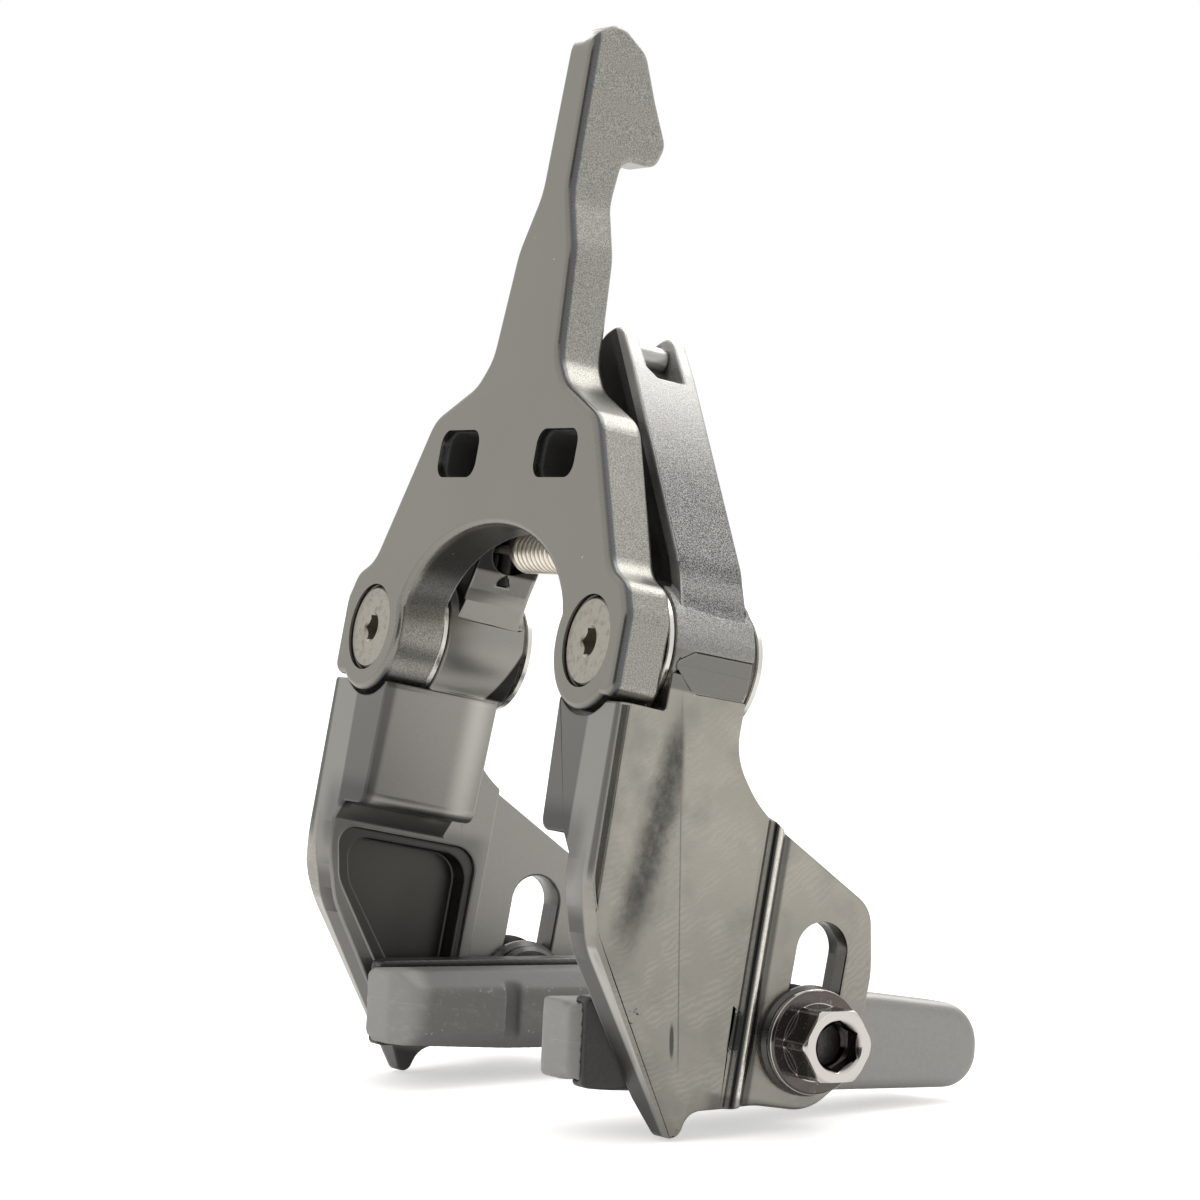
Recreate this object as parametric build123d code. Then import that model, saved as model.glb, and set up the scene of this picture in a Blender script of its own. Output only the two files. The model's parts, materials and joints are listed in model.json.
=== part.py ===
from build123d import *
import math
import os

os.makedirs("parts", exist_ok=True)

# Direct mount brake caliper, millimetres, +Z up, +Y to the back (toward the frame).
# Origin: midway between the two pivot axes on the rear mounting plane.

# driving sizes
PIVOT_SPACING = 56.0      # two mounting holes and pivots, centre to centre
STEM_TOP = 74.5           # top of the hook above the pivots
ARM_TIP = -54.7           # tip of an arm below the pivots
PLATE_T = 6.2             # front plate thickness
WASHER_T = 0.8            # thrust washer between plate ear and arm
BOSS_LEN = 10.4           # depth of the pivot boss of an arm
COLLAR = 1.0              # gap between boss and rear flange
FLANGE_T = 0.8            # rear flange of the pivot post
EAR_R = 7.8               # round ear of the front plate
BOSS_R = 8.2              # pivot boss of an arm
POST_R = 4.0              # journal of the pivot post
FLANGE_R = 7.0
SCREW_HEAD_D = 10.0       # countersunk M5 head
SCREW_D = 5.0
SOCKET_AF = 3.0           # hex key of the pivot screws
MOUNT_HOLE_D = 5.0        # core of the M6 mounting thread
PIN_D = 1.8
ROLLER_D = 3.1
STUD_D = 6.0
NUT_AF = 8.0
NUT_KEY_AF = 5.0
SLOT_W = 6.6              # height-adjusting slot for the pad stud
PAD_TILT = 8.8            # the pads rise to the back by this angle
FIT = 0.03                # radial running fit
PRESS = 0.01              # radial gap of a pressed joint

# stations along Y, counted from the mounting plane
Y_MOUNT = 0.0
Y_FLANGE = Y_MOUNT - FLANGE_T
Y_BOSS_REAR = Y_FLANGE - COLLAR
Y_BOSS = Y_BOSS_REAR - BOSS_LEN
Y_PLATE_REAR = Y_BOSS - WASHER_T
Y_FRONT = Y_PLATE_REAR - PLATE_T
PX = PIVOT_SPACING / 2

# outer skin of an arm, as X
BLADE_X = PX + 9.8        # outer face of the blade at the front ridge
BLADE_IN_X = PX + 2.6     # inner face of the blade rim
RIDGE_FACET = 0.9         # width of the facet along the front ridge, on each face
EAR_IN_X = PX + 4.7       # inner face of the slotted ear
EAR_OUT_X = PX + 9.0      # outer face of the slotted ear
BLOCK_X = PX - 5.7        # inner face of the raised block
BLOCK_Z = -21.6           # lower end of the raised block
# pad carrier
SLOT_Y = Y_FRONT + 32.3
STUD_Z = ARM_TIP + 15.0
SLOT_TOP = STUD_Z + 10.2  # stud centre at the upper end of the slot
SLOT_BOTTOM = STUD_Z - 0.8
HOLDER_BACK = BLADE_IN_X - 0.4
HOLDER_T = 5.2
HOLDER_H = 11.4           # height of the holder at the stud
HOLDER_DROP = 1.1         # its middle lies this far below the stud axis
LEFT_PAD_DROP = STUD_Z - SLOT_BOTTOM   # the left pad is set this much lower in its slot
HOLDER_FRONT = -23.6      # ends of the holder, along the pad from the stud
HOLDER_TAIL = 28.0
PAD_FACE = PX - 12.0      # braking face of the rubber


def outline(corners):
    """closed wire through corners (x, y, radius); a radius above nought rounds that corner"""
    n = len(corners)
    starts, ends, mids = [], [], []
    for i in range(n):
        p = Vector(*corners[i][:2])
        r = corners[i][2] if len(corners[i]) > 2 else 0
        a = (Vector(*corners[i - 1][:2]) - p).normalized()
        b = (Vector(*corners[(i + 1) % n][:2]) - p).normalized()
        if r <= 0:
            starts.append(p)
            ends.append(p)
            mids.append(None)
            continue
        half = math.acos(max(-1.0, min(1.0, a.dot(b)))) / 2
        t = r / math.tan(half)
        c = p + (a + b).normalized() * (r / math.sin(half))
        starts.append(p + a * t)
        ends.append(p + b * t)
        mids.append(c + (p - c).normalized() * r)
    edges = []
    for i in range(n):
        if mids[i] is not None:
            edges.append(ThreePointArc(starts[i], mids[i], ends[i]))
        j = (i + 1) % n
        if (ends[i] - starts[j]).length > 1e-6:
            edges.append(Line(ends[i], starts[j]))
    return Wire(edges)


def slab_y(corners, y0, y1):
    """outline in X and Z, filled from y0 to y1"""
    face = Plane.XZ.offset(-y0) * make_face(outline(corners))
    return extrude(face, amount=-(y1 - y0))


def slab_x(corners, x0, x1):
    """outline in Y and Z, filled from x0 to x1"""
    face = Plane.YZ.offset(x0) * make_face(outline(corners))
    return extrude(face, amount=x1 - x0)


def rod_y(r, y0, y1, x=0.0, z=0.0):
    return Pos(x, (y0 + y1) / 2, z) * Rot(90, 0, 0) * Cylinder(r, y1 - y0)


def rod_x(r, x0, x1, y=0.0, z=0.0):
    return Pos((x0 + x1) / 2, y, z) * Rot(0, 90, 0) * Cylinder(r, x1 - x0)


def cone_y(r0, r1, y0, y1, x=0.0, z=0.0):
    """round taper along Y, radius r0 at y0 and r1 at y1"""
    return Pos(x, (y0 + y1) / 2, z) * Rot(-90, 0, 0) * Cone(r0, r1, y1 - y0)


def hex_y(af, y0, y1, x=0.0, z=0.0):
    face = Plane.XZ.offset(-y0) * Pos(x, z) * RegularPolygon(af / 2, 6, major_radius=False, rotation=0)
    return extrude(face, amount=-(y1 - y0))


def hex_x(af, x0, x1, y=0.0, z=0.0, turn=0.0):
    face = Plane.YZ.offset(x0) * Pos(y, z) * RegularPolygon(af / 2, 6, major_radius=False, rotation=turn)
    return extrude(face, amount=x1 - x0)


def both_sides(shape):
    return shape + mirror(shape, Plane.YZ)


def front_plate():
    """stem with hook, shoulders, tyre arch and two ears, the sides mirrored"""
    half = [
        (2.7, STEM_TOP + 1.5, 0), (3.3, STEM_TOP - 21.3, 7), (6.6, STEM_TOP - 28.3, 8), (8.2, 33.2, 5),
        (11.0, 30.0, 6), (PX - 7.4, 26.0, 5), (PX + 2.2, 8.4, 5), (PX + 6.0, 6.8, 3),
        (PX + EAR_R + 0.06, 3.4, 3), (PX + EAR_R + 0.06, -6.0, 1.6),
        (PX, -6.0, 0), (PX, -0.5, 0),
    ]
    other = [(-c[0], c[1], c[2]) for c in reversed(half)]
    body = slab_y(half + other, Y_FRONT, Y_FRONT + 14)
    f, top = Y_FRONT, STEM_TOP
    side = [
        (f, -10.0, 0), (f, top - 2.3, 3.4), (f + 3.6, top, 2.0), (f + 7.7, top - 2.9, 3),
        (f + 9.9, top - 8.1, 5), (f + 12.3, top - 13.1, 2.2), (f + 11.4, top - 15.9, 1.4),
        (f + 6.9, top - 16.0, 1.8), (Y_PLATE_REAR, top - 22.5, 5), (Y_PLATE_REAR, -10.0, 0),
    ]
    body = body & slab_x(side, -2 * PX, 2 * PX)
    arch = Plane.XZ.offset(-(f - 1)) * Pos(0, 0.8) * Ellipse(PX - 7.0, 12.3)
    body -= extrude(arch, amount=-20)
    body -= Pos(0, f, -10) * Box(2 * (PX - 7.0), 40, 21.6)
    body += both_sides(rod_y(EAR_R, f, Y_PLATE_REAR, PX))
    front_rim = body.faces().sort_by(Axis.Y)[0].outer_wire().edges()
    body = fillet(front_rim, 0.8)
    window = [(7.4, 18.7, 1.9), (17.4, 18.7, 1.9), (17.4, 24.5, 1.9), (7.4, 24.5, 1.9)]
    body -= both_sides(slab_y(window, f - 1, Y_PLATE_REAR + 1))
    lip = SCREW_HEAD_D / 2 + 0.35
    sink = SCREW_HEAD_D / 2 - SCREW_D / 2
    for x in (-PX, PX):
        body -= rod_y(lip, f - 1, f + 0.55, x)
        body -= cone_y(lip, SCREW_D / 2 + 0.25, f + 0.549, f + 0.549 + sink + 0.1, x)
        body -= rod_y(SCREW_D / 2 + 0.25, f, Y_PLATE_REAR + 1, x)
    return body


def pivot_screw(x):
    """countersunk socket screw through the plate ear into the post"""
    top = Y_FRONT + 0.3
    r = SCREW_HEAD_D / 2
    screw = rod_y(r, top, top + 0.3, x)
    screw += cone_y(r, SCREW_D / 2, top + 0.3, top + 0.3 + r - SCREW_D / 2, x)
    screw += rod_y(SCREW_D / 2, top + 1, Y_PLATE_REAR + 5.0, x)
    screw = chamfer(screw.edges().filter_by(GeomType.CIRCLE).sort_by(Axis.Y)[0], 0.18)
    screw -= hex_y(SOCKET_AF, top - 1, top + 2.2, x)
    screw -= cone_y(SOCKET_AF / 2 + 0.35, 1.2, top - 0.01, top + 0.7, x)
    return screw


def pivot_post(x):
    """turned post: journal for the arm, rear flange, plate thread in front, frame thread behind"""
    post = rod_y(POST_R, Y_PLATE_REAR, Y_MOUNT, x)
    post += rod_y(FLANGE_R, Y_FLANGE, Y_MOUNT, x)
    post += rod_y(POST_R + 1.6, Y_BOSS_REAR + 0.35, Y_FLANGE, x)
    post -= rod_y(SCREW_D / 2 + PRESS, Y_PLATE_REAR - 1, Y_PLATE_REAR + 5.4, x)
    post -= rod_y(MOUNT_HOLE_D / 2, Y_MOUNT - 6.4, Y_MOUNT + 1, x)
    rims = post.edges().filter_by(GeomType.CIRCLE)
    outer = [e for e in rims if abs(e.radius - FLANGE_R) < 0.01]
    return chamfer(outer, 0.15)


def ring_y(r_out, r_in, y0, y1, x, z=0.0, ease=0.0):
    ring = rod_y(r_out, y0, y1, x, z)
    if ease:
        ring = chamfer(ring.edges().filter_by(GeomType.CIRCLE), ease)
    return ring - rod_y(r_in, y0 - 1, y1 + 1, x, z)


def blade_profile():
    """side view of the arm below the pivot: front ridge, pointed tip, slotted ear, neck"""
    f, tip = Y_FRONT, ARM_TIP
    return [
        (f + 0.9, -2.0, 0), (f + 1.2, tip + 27.7, 18), (f + 3.4, tip + 20.8, 10), (f + 18.4, tip, 0.9),
        (f + 18.9, tip + 4.8, 2.4), (f + 27.0, tip + 6.8, 10), (f + 34.2, tip + 7.1, 6),
        (f + 38.9, tip + 11.9, 6), (f + 39.4, tip + 23.7, 14), (f + 37.8, tip + 31.1, 4),
        (f + 21.2, -15.4, 14), (f + 16.9, -9.8, 8),
        (f + 16.9, -2.0, 0),
    ]


def blade_skin():
    """solid bounded by the outer skin: ridge in front, shallow valley, low rib before the ear"""
    f = Y_FRONT
    stations = [(0.0, -0.9, 8.8, 0.0), (ARM_TIP + 22.7, 0.4, 14.2, 0.5), (ARM_TIP - 0.5, -1.4, 18.6, 0.9)]
    faces = []
    for z, swell, valley, drift in stations:
        x = BLADE_X + swell * 0.5
        pts = [
            (BLADE_IN_X - 12, f - 2), (x, f - 2), (x, f + 2), (BLADE_X - 1.6, f + valley),
            (BLADE_X - 0.7, f + 22.0 + drift), (BLADE_X + 0.25, f + 22.7 + drift),
            (BLADE_X + 0.25, f + 23.6 + drift), (EAR_OUT_X, f + 24.5 + drift), (EAR_OUT_X, f + 45),
            (BLADE_IN_X - 12, f + 45),
        ]
        faces.append(Pos(0, 0, z) * make_face(Polyline(*pts, close=True)))
    return loft(faces, ruled=True)


def beyond(a, b, facing, depth):
    """block to cut away: it lies outside the ridge line a to b, moved in by depth"""
    a, b = Vector(*a), Vector(*b)
    along = (b - a).normalized()
    out = Vector(*facing).normalized()
    out = (out - along * out.dot(along)).normalized()
    place = Plane(origin=(a + b) * 0.5 - out * depth, x_dir=along, z_dir=out)
    return place * Box(90, 14, 8, align=(Align.CENTER, Align.CENTER, Align.MIN))


def ridge_facets():
    """flat facets along the front ridge of the blade, one on the upright part and one to the tip"""
    f, depth = Y_FRONT, RIDGE_FACET / math.sqrt(2)
    upper = beyond((BLADE_X - 0.45, f + 0.88, 0), (BLADE_X + 0.2, f + 1.26, ARM_TIP + 22.7), (1, -1, 0), depth)
    lower = beyond((BLADE_X - 0.1, f + 3.4, ARM_TIP + 20.8), (BLADE_X - 2.0, f + 18.4, ARM_TIP),
                   (1, -0.81, -0.58), depth)
    return upper + lower


def pocket(inset, x0, x1, r):
    """pocket on the inner side of the blade, its outline set in from the rim"""
    f, top, low = Y_FRONT, BLOCK_Z - 2.9, ARM_TIP + 10.9
    corners = [
        (f + 2.2 + inset, top - inset * 0.6, r), (f + 21.8 - inset * 0.5, top - inset * 0.6, r + 1),
        (f + 21.8 - inset * 0.5, low + inset, r), (f + 13.2 + inset * 0.6, low + inset, r),
        (f + 3.6 + inset, low + 12.8, r + 2),
    ]
    return slab_x(corners, x0, x1)


def right_arm():
    """cantilever arm: fork and lever above, pivot boss, blade with slotted ear below"""
    f = Y_FRONT
    lever_front, lever_rear = f + 8.2, f + 17.0
    lever = [
        (PX + 8.0, -1.0, 0), (PX + 7.9, 2.2, 4), (PX + 2.6, 11.4, 8), (11.9, 34.0, 10), (7.2, 39.0, 3.0),
        (1.3, 36.8, 3.2), (4.6, 29.0, 10), (PX - 12.4, 15.6, 16), (PX - 8.1, 6.0, 6), (PX - 7.0, -1.0, 0),
    ]
    upper = slab_y(lever, lever_front, lever_rear)
    upper = chamfer(upper.edges().filter_by_position(Axis.Z, 3, 45)
                    .filter_by_position(Axis.Y, lever_rear - 0.01, lever_rear + 0.01), 0.5)
    arm = upper + rod_y(BOSS_R, Y_BOSS, Y_BOSS_REAR, PX)
    # blade: side view, outer skin and front view all bound it
    front_view = [
        (BLADE_IN_X, 0.0, 0), (BLADE_X + 3, 0.0, 0), (BLADE_X + 3, ARM_TIP + 5.7, 0),
        (BLADE_X - 1.2, ARM_TIP + 3.1, 1), (BLADE_X - 4.4, ARM_TIP - 1.3, 1.0), (BLADE_IN_X, ARM_TIP + 5.3, 2),
    ]
    skin = (blade_skin() & slab_x(blade_profile(), PX - 12, BLADE_X + 5)) - ridge_facets()
    blade = skin & slab_y(front_view, f - 2, f + 23.4)
    ear = skin & (Pos((EAR_IN_X + BLADE_X + 3) / 2, f + 34, ARM_TIP / 2) * Box(BLADE_X + 3 - EAR_IN_X, 26, 60))
    block_view = [
        (BLOCK_X, -6.4, 1.2), (BLOCK_X + 0.9, BLOCK_Z, 1.6), (PX + 0.6, BLOCK_Z, 0), (BLADE_IN_X + 0.2, BLOCK_Z - 2.4, 0),
        (BLADE_IN_X + 0.2, 0.0, 0), (PX, 0.0, 0), (BLOCK_X + 1.2, -5.6, 0),
    ]
    block = slab_y(block_view, f + 0.8, f + 16.6) & slab_x(blade_profile(), PX - 12, BLADE_X + 5)
    lower = blade + ear + block
    # pockets that lighten the inner side
    lower -= pocket(0.0, BLADE_IN_X - 1, BLADE_IN_X + 0.7, 2.0)
    lower -= pocket(1.7, BLADE_IN_X, EAR_IN_X + 1.5, 2.4)
    # scoop and notch that clear the plate ear over the whole travel
    lower -= rod_y(EAR_R + 0.5, f - 1, Y_BOSS, PX)
    notch = [(PX + 2, -6.4, 0), (BLADE_X + 4, -6.4, 0), (BLADE_X + 4, 1.0, 0), (PX - 12, 1.0, 0), (PX - 12, -4.8, 0)]
    lower -= slab_y(notch, f - 1, Y_BOSS - 0.05)
    facet = [(f + 7.1, -0.9, 0.8), (f + 9.6, 0.7, 0.8), (f + 19, 0.8, 0), (f + 19, -3.7, 0), (f + 10.2, -3.9, 0.8)]
    arm = arm + lower
    arm -= slab_x(facet, PX + 7.85, BLADE_X + 2)
    # slot for the pad stud
    slot = [
        (SLOT_Y - SLOT_W / 2, SLOT_BOTTOM - SLOT_W / 2, SLOT_W / 2 - 0.01),
        (SLOT_Y + SLOT_W / 2, SLOT_BOTTOM - SLOT_W / 2, SLOT_W / 2 - 0.01),
        (SLOT_Y + SLOT_W / 2, SLOT_TOP + SLOT_W / 2, SLOT_W / 2 - 0.01),
        (SLOT_Y - SLOT_W / 2, SLOT_TOP + SLOT_W / 2, SLOT_W / 2 - 0.01),
    ]
    arm -= slab_x(slot, EAR_IN_X - 2, BLADE_X + 2)
    # fork slot with a chamfered floor, roller pin hole
    x_pin, z_pin = roller_place()
    fork = [
        (f + 10.2, 45.0, 0), (f + 10.2, 34.0, 0), (f + 11.4, 32.9, 0), (f + 15.0, 32.9, 0), (f + 15.0, 45.0, 0),
    ]
    arm -= slab_x(fork, -2, PX)
    arm -= rod_y(PIN_D / 2 + PRESS, f + 9.0, f + 16.2, x_pin, z_pin)
    # bush bore and the pocket that holds the spring end
    arm -= rod_y(POST_R + 1.0 + PRESS, Y_BOSS - 1, Y_BOSS_REAR + 1, PX)
    arm -= rod_x(2.9, 8, SPRING_SEAT, SPRING_Y, SPRING_Z)
    arm -= rod_z(ANCHOR_R + PRESS, SPRING_Z - 4.4, SPRING_Z + 4.4, ANCHOR_X, SPRING_Y)
    return arm


def rod_z(r, z0, z1, x, y):
    return Pos(x, y, (z0 + z1) / 2) * Cylinder(r, z1 - z0)


def roller_place():
    """centre of the roller pin in X and Z, set in from the fork tip"""
    return 6.6, 35.7


# return spring, a close-wound extension coil along X behind the arch
SPRING_Y = Y_FRONT + 12.6
SPRING_Z = 12.0
SPRING_SEAT = 21.8
ANCHOR_R = 0.9
ANCHOR_X = SPRING_SEAT - 2.2
SPRING_WIRE = 1.0
SPRING_R = 2.1
SPRING_COILS = 25


def return_spring():
    """coil with a hook bent round the anchor pin at each end"""
    pitch = SPRING_WIRE + 0.12
    body = pitch * SPRING_COILS
    path = Helix(pitch, body, SPRING_R)
    coil = sweep(Plane(path @ 0, z_dir=path % 0) * Circle(SPRING_WIRE / 2), path)
    coil = Pos(-body / 2, SPRING_Y, SPRING_Z) * Rot(0, 90, 0) * coil
    return coil + spring_hook(body / 2, 1) + spring_hook(body / 2, -1)


def spring_hook(end, side):
    """end wire: leaves the last coil, comes to the axis and loops round the anchor pin"""
    loop = ANCHOR_R + SPRING_WIRE / 2 + 0.06
    y, z = SPRING_Y, SPRING_Z
    start = Vector(side * (end - 0.02), y, z - SPRING_R)
    neck = Vector(side * (ANCHOR_X - loop - 1.0), y - loop, z)
    rise = Spline(start, neck, tangents=[(side * 0.5, -1.0, 0.2), (side, 0, 0)])
    straight = Line(neck, (side * ANCHOR_X, y - loop, z))
    turn = ThreePointArc((side * ANCHOR_X, y - loop, z), (side * (ANCHOR_X + loop), y, z), (side * ANCHOR_X, y + loop, z))
    path = Wire([rise, straight, turn])
    return sweep(Plane(path @ 0, z_dir=path % 0) * Circle(SPRING_WIRE / 2), path, transition=Transition.ROUND)


def spring_anchor(side):
    """cross pin that the spring hook hangs on"""
    return rod_z(ANCHOR_R, SPRING_Z - 4.3, SPRING_Z + 4.3, side * ANCHOR_X, SPRING_Y)


def roller_pin():
    x, z = roller_place()
    return rod_y(PIN_D / 2, Y_FRONT + 9.0, Y_FRONT + 16.2, x, z)


def roller():
    x, z = roller_place()
    return ring_y(ROLLER_D / 2, PIN_D / 2 + FIT, Y_FRONT + 10.35, Y_FRONT + 14.85, x, z, 0.15)


def tilted(shape):
    """turns a pad carrier piece from level to its tilt about the stud axis and sets it in place"""
    return Pos(0, SLOT_Y, STUD_Z) * Rot(PAD_TILT, 0, 0) * shape


def holder_side(inset, front, tail):
    """side view of the holder, drawn in by inset: low at the front rim, highest behind the stud"""
    top, low = HOLDER_H / 2 - HOLDER_DROP - inset, -HOLDER_H / 2 - HOLDER_DROP + inset
    return [
        (front, low + 0.5, 0.8), (front + 18.0, low, 30), (tail, low + 0.3, 4.2 - inset),
        (tail, top - 1.6, 5.0 - inset), (tail - 15.0, top, 30), (front, top - 0.5, 0.8),
    ]


def holder_plan(inset):
    """plan of the holder's back, drawn in by inset: the outer face slopes inward to the front rim"""
    x0, x1 = HOLDER_BACK - HOLDER_T, HOLDER_BACK - inset
    corners = [
        (x0 - 4, HOLDER_FRONT - 3, 0), (x0 + 1.4 - inset, HOLDER_FRONT - 3, 0), (x0 + 2.6 - inset, HOLDER_FRONT, 0),
        (x1, HOLDER_FRONT + 4.6, 4.0), (x1, HOLDER_TAIL + 3, 0), (x0 - 4, HOLDER_TAIL + 3, 0),
    ]
    return extrude(make_face(outline(corners)), amount=HOLDER_H, both=True)


def pad_holder():
    """long channel that grips the rubber, open in front, rounded tail"""
    x0, x1 = HOLDER_BACK - HOLDER_T, HOLDER_BACK
    body = slab_x(holder_side(0.0, HOLDER_FRONT, HOLDER_TAIL), x0, x1)
    back = body.faces().sort_by(Axis.X)[-1].outer_wire().edges()
    body = fillet(back, 1.5) & holder_plan(0.0)
    channel = slab_x(holder_side(1.0, HOLDER_FRONT - 3, HOLDER_TAIL - 2.2), x0 - 1, x0 + 1.3)
    channel += slab_x(holder_side(0.7, HOLDER_FRONT - 3, HOLDER_TAIL - 1.9), x0 + 1.29, x0 + 3.4)
    body -= channel & holder_plan(1.0)
    body -= rod_x(STUD_D / 2 + PRESS, x0, x1 + 1)
    body -= rod_x(1.5 + PRESS, x0, x1 + 1, -13.0)
    return tilted(body)


def brake_pad():
    """rubber block: foot held in the channel, proud working block with drain grooves"""
    x0 = HOLDER_BACK - HOLDER_T
    gap = 0.05
    front, tail = HOLDER_FRONT - 1.2, HOLDER_TAIL - 2.3
    foot = slab_x(holder_side(0.7 + gap, front, tail), x0 + 1.3 + gap, x0 + 3.3)
    foot += slab_x(holder_side(1.0 + gap, front, tail - 0.3), x0 - 1.2, x0 + 1.3 + 2 * gap)
    foot &= holder_plan(1.0 + gap)
    plan = [
        (x0 - 0.35, front, 0), (x0 - 0.35, tail, 0), (PAD_FACE, tail - 1.4, 2.0),
        (PAD_FACE, front + 2.0, 2.4), (x0 - 5.0, front, 1.5),
    ]
    block = extrude(make_face(outline(plan)), amount=HOLDER_H, both=True)
    block &= slab_x(holder_side(0.75, front - 1, tail + 1), PAD_FACE - 1, x0)
    # the working face is narrower than the block and runs into it over soft slopes
    top, low = HOLDER_H / 2 - HOLDER_DROP - 0.7, -HOLDER_H / 2 - HOLDER_DROP + 0.7
    section = [
        (x0, low - 0.5, 0), (PAD_FACE + 2.8, low, 3), (PAD_FACE, low + 2.2, 0.8), (PAD_FACE, top - 2.6, 0.8),
        (PAD_FACE + 3.2, top - 0.3, 3), (x0, top + 0.5, 0),
    ]
    block &= slab_y(section, front - 1, tail + 1)
    pad = foot + block
    for u in (-9.5, 10.0):
        pad -= Pos(PAD_FACE, u, 0) * Box(2.6, 1.9, HOLDER_H + 4)
    return tilted(pad)


def pad_set_screw():
    """small grub screw that keeps the rubber from sliding out"""
    screw = rod_x(1.5, HOLDER_BACK - 1.75, HOLDER_BACK - 0.2, -13.0)
    return tilted(screw - hex_x(1.5, HOLDER_BACK - 1.2, HOLDER_BACK + 1, -13.0))


NUT_SEAT = EAR_OUT_X + 1.1
NUT_TOP = NUT_SEAT + 5.9


def pad_stud():
    stud = rod_x(STUD_D / 2, HOLDER_BACK - 1.75, NUT_TOP - 3.8, SLOT_Y, STUD_Z)
    return chamfer(stud.edges().filter_by(GeomType.CIRCLE).sort_by(Axis.X)[-1], 0.5)


def pad_cup_washer():
    """dished washer between the holder and the ear, hollow side to the ear"""
    x0 = HOLDER_BACK + 0.02
    ring = rod_x(5.4, x0, x0 + 1.1, SLOT_Y, STUD_Z)
    ring = chamfer(ring.edges().filter_by(GeomType.CIRCLE).sort_by(Axis.X)[0], 0.5)
    return ring - rod_x(STUD_D / 2 + FIT, x0 - 1, x0 + 2, SLOT_Y, STUD_Z)


def pad_ball_washer():
    x0 = HOLDER_BACK + 1.14
    ring = rod_x(6.0, x0, EAR_IN_X - 0.02, SLOT_Y, STUD_Z)
    ring = chamfer(ring.edges().filter_by(GeomType.CIRCLE).sort_by(Axis.X)[0], 0.6)
    return ring - rod_x(STUD_D / 2 + FIT, x0 - 1, x0 + 2, SLOT_Y, STUD_Z)


def pad_outer_washer():
    """dished washer under the nut flange"""
    ring = rod_x(6.3, EAR_OUT_X + 0.02, NUT_SEAT - 0.02, SLOT_Y, STUD_Z)
    ring = chamfer(ring.edges().filter_by(GeomType.CIRCLE).sort_by(Axis.X)[-1], 0.55)
    return ring - rod_x(STUD_D / 2 + FIT, EAR_OUT_X - 1, NUT_SEAT + 1, SLOT_Y, STUD_Z)


def pad_nut():
    """flanged sleeve nut: hexagon outside, hexagon socket in the end, thread behind it"""
    nut = rod_x(6.0, NUT_SEAT, NUT_SEAT + 1.2, SLOT_Y, STUD_Z)
    nut = chamfer(nut.edges().filter_by(GeomType.CIRCLE).sort_by(Axis.X)[-1], 0.3)
    head = hex_x(NUT_AF, NUT_SEAT + 1, NUT_TOP, SLOT_Y, STUD_Z, 10)
    bound = rod_x(NUT_AF / 2 / math.cos(math.pi / 6) - 0.12, NUT_SEAT + 1, NUT_TOP, SLOT_Y, STUD_Z)
    nut += head & chamfer(bound.edges().filter_by(GeomType.CIRCLE).sort_by(Axis.X)[-1], 0.4)
    nut -= rod_x(STUD_D / 2 + PRESS, NUT_SEAT - 1, NUT_TOP - 2.3, SLOT_Y, STUD_Z)
    nut -= hex_x(NUT_KEY_AF, NUT_TOP - 2.4, NUT_TOP + 1, SLOT_Y, STUD_Z, 40)
    mouth = Pos(NUT_TOP - 0.25, SLOT_Y, STUD_Z) * Rot(0, 90, 0) * Cone(2.45, 3.15, 0.7)
    return nut - mouth


def save(name, shape):
    shape.label = name
    export_step(shape, os.path.join("parts", name + ".step"))


def save_pair(name, shape, drop=0.0):
    """writes a right-hand piece and its mirror image, the left one lower by drop"""
    save("right_" + name, shape)
    save("left_" + name, Pos(0, 0, -drop) * mirror(shape, Plane.YZ))


def main():
    save("front_plate", front_plate())
    save("return_spring", return_spring())
    save_pair("arm", right_arm())
    save_pair("pivot_post", pivot_post(PX))
    save_pair("pivot_screw", pivot_screw(PX))
    save_pair("pivot_bush", ring_y(POST_R + 1.0, POST_R + FIT, Y_BOSS + 0.1, Y_BOSS_REAR - 0.1, PX))
    save_pair("thrust_washer", ring_y(EAR_R, POST_R + FIT, Y_PLATE_REAR + 0.02, Y_BOSS - 0.03, PX, 0, 0.12))
    save_pair("roller_pin", roller_pin())
    save_pair("roller", roller())
    save_pair("spring_anchor", spring_anchor(1))
    save_pair("pad_holder", pad_holder(), LEFT_PAD_DROP)
    save_pair("brake_pad", brake_pad(), LEFT_PAD_DROP)
    save_pair("pad_set_screw", pad_set_screw(), LEFT_PAD_DROP)
    save_pair("pad_stud", pad_stud(), LEFT_PAD_DROP)
    save_pair("pad_cup_washer", pad_cup_washer(), LEFT_PAD_DROP)
    save_pair("pad_ball_washer", pad_ball_washer(), LEFT_PAD_DROP)
    save_pair("pad_outer_washer", pad_outer_washer(), LEFT_PAD_DROP)
    save_pair("pad_nut", pad_nut(), LEFT_PAD_DROP)


main()
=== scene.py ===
import json
import math
import bpy
import numpy as np
from mathutils import Matrix, Vector


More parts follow.
